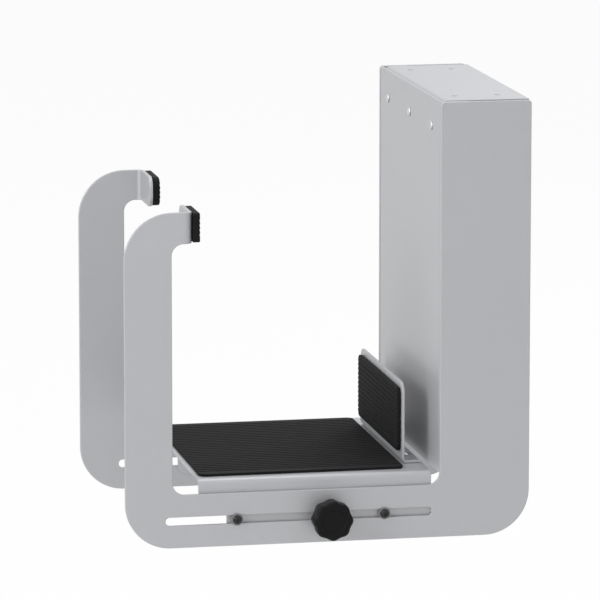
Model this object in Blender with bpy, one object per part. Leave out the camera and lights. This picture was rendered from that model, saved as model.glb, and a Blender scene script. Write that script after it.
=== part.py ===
"""Under-desk computer holder: two C-shaped end plates on a folded side panel, with a sliding tray.

The origin is the middle of the flat face that goes against the underside of the desktop.
+X points along the desk, away from the open side; -Y is the front; +Z is up. Metres.
"""
import math

import bmesh
import bpy
from mathutils import Matrix, Vector

MM = 0.001

# Driving sizes, in millimetres
CLEAR = 0.3                  # gap between two pieces that touch
RUNNING_CLEAR = 0.5          # gap beside a piece that slides

DEPTH = 243.0                # outside faces of the two end plates
PLATE_THICK = 3.0
PLATE_HEIGHT = 364.0
FLANGE_WIDTH = 76.0          # the plates' full-height right leg
FLANGE_RIGHT = 38.5
OPENING_WIDTH = 224.5        # inside the C
ARM_WIDTH = 39.5
BAR_HEIGHT = 44.5
HOOK_TOP = -85.0
HOOK_HEIGHT = 26.0
HOOK_REACH = 57.0            # from the arm's outer edge to the turned-in tab
OUTER_CORNER = 38.0
HOOK_CORNER = 40.0
INNER_CORNER = 10.0
HOOK_INNER_CORNER = 10.0
CROWN_CORNER = 3.0           # the leg's two upper corners

TAB_LENGTH = 50.0
TAB_BEND = 3.5               # inside radius of the tab's bend
TAB_CORNER = 10.0
HOOK_PAD_THICK = 6.0
PAD_INSET = 0.8              # the pad's edge inside the tab's edge
PAD_CORNER = 2.0

PANEL_THICK = 2.0
PANEL_LIP = 28.0
PANEL_BOTTOM_GAP = 9.5       # from the bar's upper edge to the panel's lower edge
PANEL_BEND = 2.0

BRACKET_THICK = 3.0
BRACKET_LEG = 40.0
BRACKET_BEND = 2.0
BRACKET_END_GAP = 4.0        # from the panel's lips to the bracket's ends
DESK_SCREW_HOLE = 5.5
DESK_SCREW_SPACING_X = 36.0
DESK_SCREW_SPACING_Y = 170.0
BRACKET_RIVET_SPACING = 85.0
BRACKET_RIVET_DROP = 24.0

TRAY_LENGTH = 196.0
TRAY_THICK = 2.0
TRAY_LIFT = 11.2             # the tray's top face above the bars' upper edges
TRAY_SKIRT = 43.7            # how far the tray's front and rear skirts reach down
TRAY_BEND = 2.0
SKIRT_STEP = 23.5            # the skirts' deep part starts this far from the tray's left end
SKIRT_SHALLOW = 14.0         # depth of the skirts' shallow part
STEP_CORNER = 4.0
TRAY_TO_PANEL = 6.5
MAT_THICK = 2.0
MAT_MARGIN = 12.0
MAT_END_MARGIN = 3.0

STOP_THICK = 2.0
STOP_FROM_END = 17.4         # from the tray's right end; leaves 173.5 to the hook pads
STOP_HEIGHT = 68.0
STOP_LENGTH = 170.0
STOP_FOOT_MARGIN = 2.0       # from the stop's foot to the tray's right end
STOP_BEND = 2.0
STOP_PAD_THICK = 3.0
STOP_PAD_MARGIN = 5.0
STOP_RIVET_SPACING = 120.0
STOP_CORNER = 10.0
SHEET_CORNER = 6.0           # free corners of the folded sheets and pads

SLOT_HEIGHT = 7.0
SLOT_PAST_OPENING = 6.0      # the slot's left end to the left of the opening
SLOT_FROM_OPENING = 6.5      # the slot's right end to the left of the opening's right edge
GUIDE_LEFT_INSET = 31.5      # guide screws, from the tray's two ends
GUIDE_RIGHT_INSET = 40.5
CLAMP_FROM_RIGHT = 88.0      # the knob's axis, from the tray's right end

BOLT_HEAD = 14.0
BOLT_HEAD_HEIGHT = 3.4
NECK_LENGTH = 4.0
WASHER = 18.0
WASHER_THICK = 1.6
KNOB = 33.5
KNOB_HUB = 17.0
KNOB_HUB_LENGTH = 8.0
KNOB_GRIP = 15.0
KNOB_CAP_WALL = 4.0
KNOB_LOBES = 8
KNOB_LOBE_DEPTH = 0.035      # share of the radius
INSERT = 10.0
INSERT_LENGTH = 11.0

BOLT_TIP_GAP = 3.0           # free space past the bolt's tip in the knob's bore
WASHER_EDGE = 0.3
KNOB_ROUND = 2.0
KNOB_EDGE = ((0.0, 1.5), (0.5, 0.5), (1.8, 0.0))        # the grip's front edge: inset and drop, in KNOB_ROUND

SCREW = 4.0
SCREW_TAIL = 1.2             # thread past the nut
SCREW_CHAMFER = 0.4
SOCKET = 2.5
SOCKET_DEPTH = 1.4
SCREW_HEAD = 7.6
SCREW_HEAD_HEIGHT = 2.2
HEAD_CROWN = ((0.3, 1.0), (0.42, 0.7), (0.5, 0.25))    # a button head: shares of its width and height
BUSH_FLANGE = 10.0
BUSH_FLANGE_THICK = 1.0
NUT_ACROSS = 7.0
NUT_HEIGHT = 3.2
RIVET = 4.0
RIVET_HEAD = 8.0
RIVET_HEAD_HEIGHT = 1.6
RIVET_TAIL = 6.0
RIVET_TAIL_HEIGHT = 1.4

CUT_PAST = 1.0               # how far a cutter runs past the sheet it cuts

ARC_STEPS = 12
BEND_STEPS = 4
ROUND_STEPS = 12             # holes and small turned pieces
BOLT_STEPS = 24
WASHER_STEPS = 36
KNOB_STEPS = 64

# Places worked out from the sizes
FLANGE_LEFT = FLANGE_RIGHT - FLANGE_WIDTH
ARM_INNER = FLANGE_LEFT - OPENING_WIDTH
ARM_OUTER = ARM_INNER - ARM_WIDTH
BAR_TOP = BAR_HEIGHT - PLATE_HEIGHT
HOOK_END = ARM_OUTER + HOOK_REACH
PLATE_FACE = DEPTH / 2
PLATE_BACK = PLATE_FACE - PLATE_THICK
SLOT_Z = BAR_HEIGHT / 2 - PLATE_HEIGHT
SLOT_RIGHT = FLANGE_LEFT - SLOT_FROM_OPENING
SLOT_LEFT = ARM_INNER - SLOT_PAST_OPENING

PANEL_FACE = FLANGE_LEFT
PANEL_REACH = PLATE_BACK - CLEAR
PANEL_BOTTOM = BAR_TOP + PANEL_BOTTOM_GAP
BRACKET_LEFT = PANEL_FACE + PANEL_THICK + CLEAR
BRACKET_REACH = PANEL_REACH - PANEL_THICK - BRACKET_END_GAP

TRAY_RIGHT = PANEL_FACE - TRAY_TO_PANEL
TRAY_LEFT = TRAY_RIGHT - TRAY_LENGTH
TRAY_TOP = BAR_TOP + TRAY_LIFT
TRAY_REACH = PLATE_BACK - RUNNING_CLEAR
TRAY_INSIDE = TRAY_REACH - TRAY_THICK
CLAMP_X = TRAY_RIGHT - CLAMP_FROM_RIGHT
GUIDE_X = {"left": TRAY_LEFT + GUIDE_LEFT_INSET, "right": TRAY_RIGHT - GUIDE_RIGHT_INSET}

HOOK_PAD_FACE = HOOK_END + CLEAR + HOOK_PAD_THICK
STOP_FACE = TRAY_RIGHT - STOP_FROM_END
STOP_PAD_LEFT = STOP_FACE - CLEAR - STOP_PAD_THICK
STOP_BOTTOM = TRAY_TOP + CLEAR
STOP_RIGHT = TRAY_RIGHT - STOP_FOOT_MARGIN

BUSH = SLOT_HEIGHT - 2 * CLEAR
NECK = SLOT_HEIGHT - 2 * RUNNING_CLEAR
BOLT = NECK
WASHER_FACE = PLATE_FACE + CLEAR + WASHER_THICK
KNOB_BACK = WASHER_FACE + CLEAR

FRONT, REAR = -1, 1
SIDES = {"front": FRONT, "rear": REAR}


def clear_scene():
    for thing in list(bpy.data.objects):
        bpy.data.objects.remove(thing, do_unlink=True)


def make_material(name, color, roughness, metallic):
    material = bpy.data.materials.new(name)
    material.use_nodes = True
    shader = material.node_tree.nodes["Principled BSDF"]
    shader.inputs["Base Color"].default_value = (*color, 1.0)
    shader.inputs["Roughness"].default_value = roughness
    shader.inputs["Metallic"].default_value = metallic
    return material


def make_object(name, mesh_data, material, parent, smooth=False):
    """One named object whose mesh takes the bmesh, with its faces turned out."""
    bmesh.ops.recalc_face_normals(mesh_data, faces=mesh_data.faces)
    mesh = bpy.data.meshes.new(name)
    mesh_data.to_mesh(mesh)
    mesh_data.free()
    mesh.materials.append(material)
    piece = bpy.data.objects.new(name, mesh)
    bpy.context.scene.collection.objects.link(piece)
    piece.parent = parent
    if smooth:
        mesh.shade_smooth()
        mesh.set_sharp_from_angle(angle=math.radians(35))
    return piece


def make_empty(name, place, parent=None):
    empty = bpy.data.objects.new(name, None)
    empty.location = Vector(place) * MM
    bpy.context.scene.collection.objects.link(empty)
    empty.parent = parent
    return empty


def put(piece, world_place, turn=None):
    """Places a piece at a world position in millimetres, under its parent."""
    home = piece.parent.location if piece.parent else Vector()
    piece.location = Vector(world_place) * MM - home
    if turn is not None:
        piece.rotation_euler = turn
    return piece


def rounded(corners):
    """A 2-D outline from (x, y, radius) corners, each radius drawn as an arc of points."""
    outline = []
    count = len(corners)
    for index, (x, y, radius) in enumerate(corners):
        corner = Vector((x, y))
        if radius <= 0:
            outline.append(corner)
            continue
        before = Vector(corners[index - 1][:2]) - corner
        after = Vector(corners[(index + 1) % count][:2]) - corner
        half = before.angle(after) / 2
        setback = radius / math.tan(half)
        centre = corner + (before.normalized() + after.normalized()).normalized() * radius / math.sin(half)
        start = corner + before.normalized() * setback - centre
        sweep = math.pi - 2 * half
        if before.x * after.y - before.y * after.x > 0:
            sweep = -sweep
        steps = ARC_STEPS if radius > INNER_CORNER / 2 else BEND_STEPS
        for step in range(steps + 1):
            outline.append(centre + Matrix.Rotation(sweep * step / steps, 2) @ start)
    return outline


def folded(path, thickness, bend, inward):
    """The closed cross-section of a folded sheet.

    path is the sheet's outer face; inward is +1 where the sheet's body lies to its left.
    """
    points = [Vector(point) for point in path]
    inner = []
    for index, point in enumerate(points):
        normals = []
        if index > 0:
            run = (point - points[index - 1]).normalized()
            normals.append(Vector((-run.y, run.x)) * inward)
        if index < len(points) - 1:
            run = (points[index + 1] - point).normalized()
            normals.append(Vector((-run.y, run.x)) * inward)
        middle = sum(normals, Vector((0.0, 0.0))).normalized()
        inner.append(point + middle * thickness / middle.dot(normals[0]))
    last = len(points) - 1
    corners = [(*p, bend + thickness if 0 < i < last else 0) for i, p in enumerate(points)]
    corners += [(*p, bend if 0 < i < last else 0) for i, p in reversed(list(enumerate(inner)))]
    return rounded(corners)


def prism(outline, low, high, place):
    """A bmesh prism: place(a, b, level) turns an outline point and a level into a position."""
    mesh_data = bmesh.new()
    rings = []
    for level in (low, high):
        rings.append([mesh_data.verts.new(Vector(place(a, b, level)) * MM) for a, b in outline])
    count = len(outline)
    mesh_data.faces.new(rings[0])
    mesh_data.faces.new(reversed(rings[1]))
    for index in range(count):
        following = (index + 1) % count
        mesh_data.faces.new((rings[0][index], rings[0][following], rings[1][following], rings[1][index]))
    return mesh_data


def along_y(a, b, level):
    return a, level, b


def along_x(a, b, level):
    return level, a, b


def along_z(a, b, level):
    return a, b, level


def slot_outline(left, right, middle, height):
    radius = height / 2
    outline = []
    for centre, start in ((right - radius, -90), (left + radius, 90)):
        for step in range(ARC_STEPS + 1):
            angle = math.radians(start + 180 * step / ARC_STEPS)
            outline.append((centre + radius * math.cos(angle), middle + radius * math.sin(angle)))
    return outline


def circle_outline(x, y, diameter):
    turn = 2 * math.pi / ROUND_STEPS
    radius = diameter / 2
    return [(x + radius * math.cos(k * turn), y + radius * math.sin(k * turn)) for k in range(ROUND_STEPS)]


def square_outline(x, y, side):
    half = side / 2
    return [(x - half, y - half), (x + half, y - half), (x + half, y + half), (x - half, y + half)]


def cut(piece, name, outline, low, high, place, operation='DIFFERENCE'):
    """Cuts a piece with a prism by a Boolean modifier: a hole, or with INTERSECT a trimmed outline."""
    mesh_data = prism(outline, low, high, place)
    cutter = make_object(name, mesh_data, piece.data.materials[0], None)
    cutter.hide_render = True
    cutter.display_type = 'WIRE'
    boolean = piece.modifiers.new(name, 'BOOLEAN')
    boolean.operation = operation
    boolean.solver = 'EXACT'
    boolean.object = cutter


def round_radius(angle):
    return 1.0


def square_radius(angle):
    return 1.0 / max(abs(math.cos(angle)), abs(math.sin(angle)))


def hex_radius(angle):
    """Radius of a hexagon, in units of its half width across flats."""
    return 1.0 / math.cos((angle + math.pi / 6) % (math.pi / 3) - math.pi / 6)


def lobed_radius(angle):
    return 1.0 + KNOB_LOBE_DEPTH * (math.cos(KNOB_LOBES * angle) - 1.0)


def turned(name, profile, material, parent, steps=ROUND_STEPS):
    """A piece turned about its own Z: (radius, height) or (radius, height, shape) points.

    A profile that starts and ends at radius 0 closes at poles; any other closes on itself.
    """
    mesh_data = bmesh.new()
    rings = []
    for radius, height, *shape in profile:
        form = shape[0] if shape else round_radius
        if radius == 0:
            rings.append([mesh_data.verts.new((0, 0, height * MM))])
            continue
        ring = []
        for step in range(steps):
            angle = 2 * math.pi * step / steps
            reach = radius * form(angle) * MM
            ring.append(mesh_data.verts.new((reach * math.cos(angle), reach * math.sin(angle), height * MM)))
        rings.append(ring)
    pairs = list(zip(rings, rings[1:]))
    if profile[0][0] > 0:
        pairs.append((rings[-1], rings[0]))
    for lower, upper in pairs:
        for step in range(steps):
            following = (step + 1) % steps
            corners = [lower[step % len(lower)], lower[following % len(lower)],
                       upper[following % len(upper)], upper[step % len(upper)]]
            mesh_data.faces.new(list(dict.fromkeys(corners)))
    return make_object(name, mesh_data, material, parent, smooth=True)


def outward_turn(side):
    """Turns a piece's own +Z to the front (-Y) or to the rear (+Y)."""
    return (-side * math.pi / 2, 0, 0)


def end_plate_outline():
    """The C of an end plate in X and Z, from the hook's end round to the opening."""
    hook_under = HOOK_TOP - HOOK_HEIGHT
    hook_start = HOOK_END - TAB_BEND - PLATE_THICK
    return rounded([
        (hook_start, hook_under, 0),
        (ARM_INNER, hook_under, HOOK_INNER_CORNER),
        (ARM_INNER, BAR_TOP, INNER_CORNER),
        (FLANGE_LEFT, BAR_TOP, INNER_CORNER),
        (FLANGE_LEFT, -CLEAR, CROWN_CORNER),
        (FLANGE_RIGHT, -CLEAR, CROWN_CORNER),
        (FLANGE_RIGHT, -PLATE_HEIGHT, OUTER_CORNER),
        (ARM_OUTER, -PLATE_HEIGHT, OUTER_CORNER),
        (ARM_OUTER, HOOK_TOP, HOOK_CORNER),
        (hook_start, HOOK_TOP, 0),
    ])


def tab_stations(side):
    """The turned-in tab as (x, y, turn, half height) stations along the middle of its sheet.

    First a quarter circle round the bend, then straight to a free end with round corners.
    """
    stations = []
    radius = TAB_BEND + PLATE_THICK / 2
    for step in range(1, BEND_STEPS + 1):
        turn = math.pi / 2 * step / BEND_STEPS
        x = HOOK_END - TAB_BEND - PLATE_THICK + radius * math.sin(turn)
        y = PLATE_BACK - TAB_BEND + radius * math.cos(turn)
        stations.append((x, side * y, turn, HOOK_HEIGHT / 2))
    corner_start = PLATE_FACE - TAB_LENGTH + TAB_CORNER
    for step in range(ARC_STEPS + 1):
        angle = math.pi / 2 * step / ARC_STEPS
        y = corner_start - TAB_CORNER * math.sin(angle)
        half = HOOK_HEIGHT / 2 - TAB_CORNER * (1 - math.cos(angle))
        stations.append((HOOK_END - PLATE_THICK / 2, side * y, math.pi / 2, half))
    return stations


def bend_tab(mesh_data, side):
    """Carries the flat end of the hook round the bend and along the tab."""
    middle_z = HOOK_TOP - HOOK_HEIGHT / 2
    middle_y = side * (PLATE_FACE - PLATE_THICK / 2)
    end_centre = Vector((HOOK_END - TAB_BEND - PLATE_THICK, middle_y, middle_z)) * MM
    end = min(mesh_data.faces, key=lambda face: (face.calc_center_median() - end_centre).length)
    edge = list(end.verts)
    signs = []
    for vert in edge:
        outer = 1 if abs(vert.co.y) > abs(end_centre.y) else -1
        upper = 1 if vert.co.z > end_centre.z else -1
        signs.append((outer, upper))
    mesh_data.faces.remove(end)
    for x, y, turn, half in tab_stations(side):
        fresh = []
        for outer, upper in signs:
            reach = outer * PLATE_THICK / 2
            spot = (x + reach * math.sin(turn), y + side * reach * math.cos(turn), middle_z + upper * half)
            fresh.append(mesh_data.verts.new(Vector(spot) * MM))
        for index in range(len(edge)):
            following = (index + 1) % len(edge)
            mesh_data.faces.new((edge[index], edge[following], fresh[following], fresh[index]))
        edge = fresh
    mesh_data.faces.new(edge)


def make_end_plate(name, side, steel, parent):
    near, far = sorted((side * PLATE_BACK, side * PLATE_FACE))
    mesh_data = prism(end_plate_outline(), near, far, along_y)
    bend_tab(mesh_data, side)
    plate = make_object(name, mesh_data, steel, parent)
    slot = slot_outline(SLOT_LEFT, SLOT_RIGHT, SLOT_Z, SLOT_HEIGHT)
    cut(plate, f"{name}_slot", slot, near - PLATE_THICK, far + PLATE_THICK, along_y)
    return plate


def make_hook_pad(name, side, rubber, parent):
    near, far = sorted((side * (PLATE_FACE - PAD_INSET), side * (PLATE_FACE - TAB_LENGTH + PAD_INSET)))
    low, high = HOOK_TOP - HOOK_HEIGHT + PAD_INSET, HOOK_TOP - PAD_INSET
    tip = TAB_CORNER - PAD_INSET
    radii = (tip, PAD_CORNER) if side == REAR else (PAD_CORNER, tip)
    outline = rounded([
        (near, low, radii[0]),
        (far, low, radii[1]),
        (far, high, radii[1]),
        (near, high, radii[0]),
    ])
    return make_object(name, prism(outline, HOOK_END + CLEAR, HOOK_PAD_FACE, along_x), rubber, parent)


def make_side_panel(steel, parent):
    """A wide folded channel: the web faces the computer, its two lips are welded to the plates."""
    lip_end = PANEL_FACE + PANEL_LIP
    path = [
        (lip_end, -PANEL_REACH),
        (PANEL_FACE, -PANEL_REACH),
        (PANEL_FACE, PANEL_REACH),
        (lip_end, PANEL_REACH),
    ]
    outline = folded(path, PANEL_THICK, PANEL_BEND, -1)
    top = -CLEAR
    panel = make_object("side_panel", prism(outline, PANEL_BOTTOM, top, along_z), steel, parent)
    frame = rounded([
        (PANEL_FACE - PANEL_THICK, PANEL_BOTTOM, 0),
        (lip_end, PANEL_BOTTOM, SHEET_CORNER),
        (lip_end, top, SHEET_CORNER),
        (PANEL_FACE - PANEL_THICK, top, 0),
    ])
    cut(panel, "panel_corners", frame, -PLATE_FACE, PLATE_FACE, along_y, 'INTERSECT')
    web_back = PANEL_FACE + PANEL_THICK
    for index, y in enumerate(bracket_rivet_places()):
        hole = circle_outline(y, -BRACKET_RIVET_DROP, RIVET + 2 * CLEAR)
        cut(panel, f"panel_hole_{index}", hole, PANEL_FACE - CUT_PAST, web_back + CUT_PAST, along_x)
    return panel


def bracket_rivet_places():
    return [-BRACKET_RIVET_SPACING, 0.0, BRACKET_RIVET_SPACING]


def make_mount_bracket(steel, parent):
    """A folded angle: its flat top goes against the desktop, its leg is riveted to the panel."""
    path = [(BRACKET_LEFT, -BRACKET_LEG), (BRACKET_LEFT, 0.0), (FLANGE_RIGHT, 0.0)]
    outline = folded(path, BRACKET_THICK, BRACKET_BEND, -1)
    mesh_data = prism(outline, -BRACKET_REACH, BRACKET_REACH, along_y)
    bracket = make_object("mount_bracket", mesh_data, steel, parent)
    leg_face = BRACKET_LEFT + BRACKET_THICK
    for index, y in enumerate(bracket_rivet_places()):
        hole = circle_outline(y, -BRACKET_RIVET_DROP, RIVET + 2 * CLEAR)
        cut(bracket, f"bracket_hole_{index}", hole, BRACKET_LEFT - CUT_PAST, leg_face + CUT_PAST, along_x)
    for x_side in (-1, 1):
        for name, side in SIDES.items():
            x = x_side * DESK_SCREW_SPACING_X / 2
            y = side * DESK_SCREW_SPACING_Y / 2
            hole = circle_outline(x, y, DESK_SCREW_HOLE)
            cut(bracket, f"desk_hole_{name}_{x_side}", hole, -BRACKET_THICK - CUT_PAST, CUT_PAST, along_z)
    return bracket


def make_tray(steel, parent):
    """A channel across both bars: its two skirts run behind the end plates' slots."""
    skirt = TRAY_TOP - TRAY_SKIRT
    path = [(-TRAY_REACH, skirt), (-TRAY_REACH, TRAY_TOP), (TRAY_REACH, TRAY_TOP), (TRAY_REACH, skirt)]
    outline = folded(path, TRAY_THICK, TRAY_BEND, -1)
    tray = make_object("tray", prism(outline, TRAY_LEFT, TRAY_RIGHT, along_x), steel, parent)
    step_x, step_z = TRAY_LEFT + SKIRT_STEP, TRAY_TOP - SKIRT_SHALLOW
    frame = rounded([
        (step_x, skirt, SHEET_CORNER),
        (TRAY_RIGHT, skirt, SHEET_CORNER),
        (TRAY_RIGHT, TRAY_TOP + CUT_PAST, 0),
        (TRAY_LEFT, TRAY_TOP + CUT_PAST, 0),
        (TRAY_LEFT, step_z, STEP_CORNER),
        (step_x, step_z, STEP_CORNER),
    ])
    cut(tray, "tray_corners", frame, -PLATE_FACE, PLATE_FACE, along_y, 'INTERSECT')
    for name, x in GUIDE_X.items():
        hole = circle_outline(x, SLOT_Z, SCREW + 2 * CLEAR)
        cut(tray, f"tray_guide_hole_{name}", hole, -PLATE_FACE, PLATE_FACE, along_y)
    neck_hole = square_outline(CLAMP_X, SLOT_Z, NECK + 2 * CLEAR)
    cut(tray, "tray_neck_hole", neck_hole, -PLATE_FACE, -TRAY_INSIDE + CUT_PAST, along_y)
    under = TRAY_TOP - TRAY_THICK
    for index, (x, y) in enumerate(stop_rivet_places()):
        hole = circle_outline(x, y, RIVET + 2 * CLEAR)
        cut(tray, f"tray_rivet_hole_{index}", hole, under - CUT_PAST, TRAY_TOP + CUT_PAST, along_z)
    return tray


def make_tray_mat(rubber, parent):
    left, right = TRAY_LEFT + MAT_END_MARGIN, STOP_FACE - MAT_END_MARGIN
    reach = TRAY_REACH - MAT_MARGIN
    outline = rounded([(x, y, SHEET_CORNER) for x, y in
                       ((left, -reach), (right, -reach), (right, reach), (left, reach))])
    bottom = TRAY_TOP + CLEAR
    return make_object("tray_mat", prism(outline, bottom, bottom + MAT_THICK, along_z), rubber, parent)


def stop_rivet_places():
    x = (STOP_FACE + STOP_THICK + STOP_RIGHT) / 2
    return [(x, side * STOP_RIVET_SPACING / 2) for side in SIDES.values()]


def make_side_stop(steel, parent):
    """An angle riveted to the tray; its upright holds the computer against the hook pads."""
    top = STOP_BOTTOM + STOP_HEIGHT
    path = [(STOP_FACE, top), (STOP_FACE, STOP_BOTTOM), (STOP_RIGHT, STOP_BOTTOM)]
    outline = folded(path, STOP_THICK, STOP_BEND, 1)
    half = STOP_LENGTH / 2
    stop = make_object("side_stop", prism(outline, -half, half, along_y), steel, parent)
    frame = rounded([
        (-half, STOP_BOTTOM - CUT_PAST, 0),
        (half, STOP_BOTTOM - CUT_PAST, 0),
        (half, top, STOP_CORNER),
        (-half, top, STOP_CORNER),
    ])
    cut(stop, "stop_corners", frame, STOP_FACE - CUT_PAST, STOP_RIGHT + CUT_PAST, along_x, 'INTERSECT')
    foot_top = STOP_BOTTOM + STOP_THICK
    for index, (x, y) in enumerate(stop_rivet_places()):
        hole = circle_outline(x, y, RIVET + 2 * CLEAR)
        cut(stop, f"stop_rivet_hole_{index}", hole, STOP_BOTTOM - CUT_PAST, foot_top + CUT_PAST, along_z)
    return stop


def make_stop_pad(rubber, parent):
    low = STOP_BOTTOM + STOP_THICK + STOP_BEND + STOP_PAD_MARGIN
    high = STOP_BOTTOM + STOP_HEIGHT - STOP_PAD_MARGIN
    reach = STOP_LENGTH / 2 - STOP_PAD_MARGIN
    outline = rounded([(y, z, SHEET_CORNER) for y, z in
                       ((-reach, low), (reach, low), (reach, high), (-reach, high))])
    mesh_data = prism(outline, STOP_PAD_LEFT, STOP_PAD_LEFT + STOP_PAD_THICK, along_x)
    return make_object("stop_pad", mesh_data, rubber, parent)


def make_rivet(name, grip, steel, parent):
    """A domed rivet: z = 0 is the outer face of the sheets it holds, which are grip thick."""
    head, shank, tail = RIVET_HEAD / 2, RIVET / 2, RIVET_TAIL / 2
    crown = CLEAR + RIVET_HEAD_HEIGHT
    bottom = -grip - CLEAR
    dome = dome_profile(head, CLEAR, crown)
    shaft = [(shank, CLEAR), (shank, bottom), (tail, bottom), (tail, bottom - RIVET_TAIL_HEIGHT / 2)]
    end = [(tail * 0.75, bottom - RIVET_TAIL_HEIGHT), (0, bottom - RIVET_TAIL_HEIGHT)]
    return turned(name, dome + shaft + end, steel, parent)


def dome_profile(radius, base, crown):
    """A quarter ellipse from the pole at the crown out to the rim."""
    points = [(0, crown)]
    for step in range(1, BEND_STEPS + 1):
        angle = math.pi / 2 * step / BEND_STEPS
        points.append((radius * math.sin(angle), base + (crown - base) * math.cos(angle)))
    return points


def make_guide(name, side, x, materials, parent):
    """A socket screw, a flanged bush that runs in the slot, and the nut behind the tray's skirt."""
    place = (x, side * PLATE_FACE, SLOT_Z)
    bore = SCREW / 2 + CLEAR
    bush_top = CLEAR + BUSH_FLANGE_THICK
    bush_end = -PLATE_THICK - RUNNING_CLEAR + CLEAR
    bush = turned(f"guide_bush_{name}", [
        (bore, bush_end),
        (BUSH / 2, bush_end),
        (BUSH / 2, CLEAR),
        (BUSH_FLANGE / 2, CLEAR),
        (BUSH_FLANGE / 2, bush_top),
        (bore, bush_top),
    ], materials["nylon"], parent)
    put(bush, place, outward_turn(side))

    seat = bush_top + CLEAR
    crown = seat + SCREW_HEAD_HEIGHT
    nut_face = -PLATE_THICK - RUNNING_CLEAR - TRAY_THICK - CLEAR
    shank_end = nut_face - NUT_HEIGHT - SCREW_TAIL
    screw = turned(f"guide_screw_{name}", [
        (0, crown - SOCKET_DEPTH),
        (SOCKET / 2, crown - SOCKET_DEPTH, hex_radius),
        (SOCKET / 2, crown, hex_radius),
        *((SCREW_HEAD * across, seat + SCREW_HEAD_HEIGHT * up) for across, up in HEAD_CROWN),
        (SCREW_HEAD / 2, seat),
        (SCREW / 2, seat),
        (SCREW / 2, shank_end + SCREW_CHAMFER),
        (SCREW / 2 - SCREW_CHAMFER, shank_end),
        (0, shank_end),
    ], materials["black_steel"], parent)
    put(screw, place, outward_turn(side))

    half = NUT_ACROSS / 2
    nut = turned(f"guide_nut_{name}", [
        (bore, nut_face - NUT_HEIGHT),
        (half - SCREW_CHAMFER, nut_face - NUT_HEIGHT),
        (half, nut_face - NUT_HEIGHT + SCREW_CHAMFER, hex_radius),
        (half, nut_face, hex_radius),
        (bore, nut_face),
    ], materials["zinc"], parent)
    put(nut, place, outward_turn(side))


def make_clamp_bolt(zinc, parent):
    """A carriage bolt: domed head behind the skirt, square neck in the slot, thread in the knob."""
    place = (CLAMP_X, -PLATE_FACE, SLOT_Z)
    head_face = -PLATE_THICK - RUNNING_CLEAR - TRAY_THICK - CLEAR
    neck_end = head_face + NECK_LENGTH
    tip = KNOB_BACK - PLATE_FACE + KNOB_HUB_LENGTH + KNOB_GRIP - KNOB_CAP_WALL - BOLT_TIP_GAP
    head = [(radius, 2 * head_face - height) for radius, height in
            dome_profile(BOLT_HEAD / 2, head_face, head_face + BOLT_HEAD_HEIGHT)]
    bolt = turned("clamp_bolt", head + [
        (NECK / 2, head_face, square_radius),
        (NECK / 2, neck_end, square_radius),
        (BOLT / 2, neck_end + SCREW_CHAMFER),
        (BOLT / 2, tip - SCREW_CHAMFER),
        (BOLT / 2 - SCREW_CHAMFER, tip),
        (0, tip),
    ], zinc, parent, steps=BOLT_STEPS)
    put(bolt, place, outward_turn(FRONT))


def make_clamp_washer(zinc, parent):
    bore = BOLT / 2 + CLEAR
    washer = turned("clamp_washer", [
        (bore, 0.0),
        (WASHER / 2 - WASHER_EDGE, 0.0),
        (WASHER / 2, WASHER_EDGE),
        (WASHER / 2, WASHER_THICK - WASHER_EDGE),
        (WASHER / 2 - WASHER_EDGE, WASHER_THICK),
        (bore, WASHER_THICK),
    ], zinc, parent, steps=WASHER_STEPS)
    put(washer, (CLAMP_X, -PLATE_FACE - CLEAR, SLOT_Z), outward_turn(FRONT))


def make_knob(plastic, brass, parent):
    """A lobed grip on a round hub, with a threaded insert in its blind bore."""
    place = (CLAMP_X, -KNOB_BACK, SLOT_Z)
    grip, hub = KNOB / 2, KNOB_HUB / 2
    bore = INSERT / 2 + CLEAR
    front = KNOB_HUB_LENGTH + KNOB_GRIP
    roof = front - KNOB_CAP_WALL
    knob = turned("clamp_knob", [
        (0, roof),
        (bore, roof),
        (bore, 0.0),
        (hub - KNOB_ROUND / 2, 0.0),
        (hub, KNOB_ROUND / 2),
        (hub, KNOB_HUB_LENGTH),
        (grip - KNOB_ROUND, KNOB_HUB_LENGTH, lobed_radius),
        (grip, KNOB_HUB_LENGTH + KNOB_ROUND, lobed_radius),
        *((grip - inset * KNOB_ROUND, front - drop * KNOB_ROUND, lobed_radius) for inset, drop in KNOB_EDGE),
        (0, front),
    ], plastic, parent, steps=KNOB_STEPS)
    put(knob, place, outward_turn(FRONT))

    insert = turned("knob_insert", [
        (BOLT / 2 + CLEAR, CLEAR),
        (INSERT / 2, CLEAR),
        (INSERT / 2, CLEAR + INSERT_LENGTH),
        (BOLT / 2 + CLEAR, CLEAR + INSERT_LENGTH),
    ], brass, parent)
    put(insert, place, outward_turn(FRONT))


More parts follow.
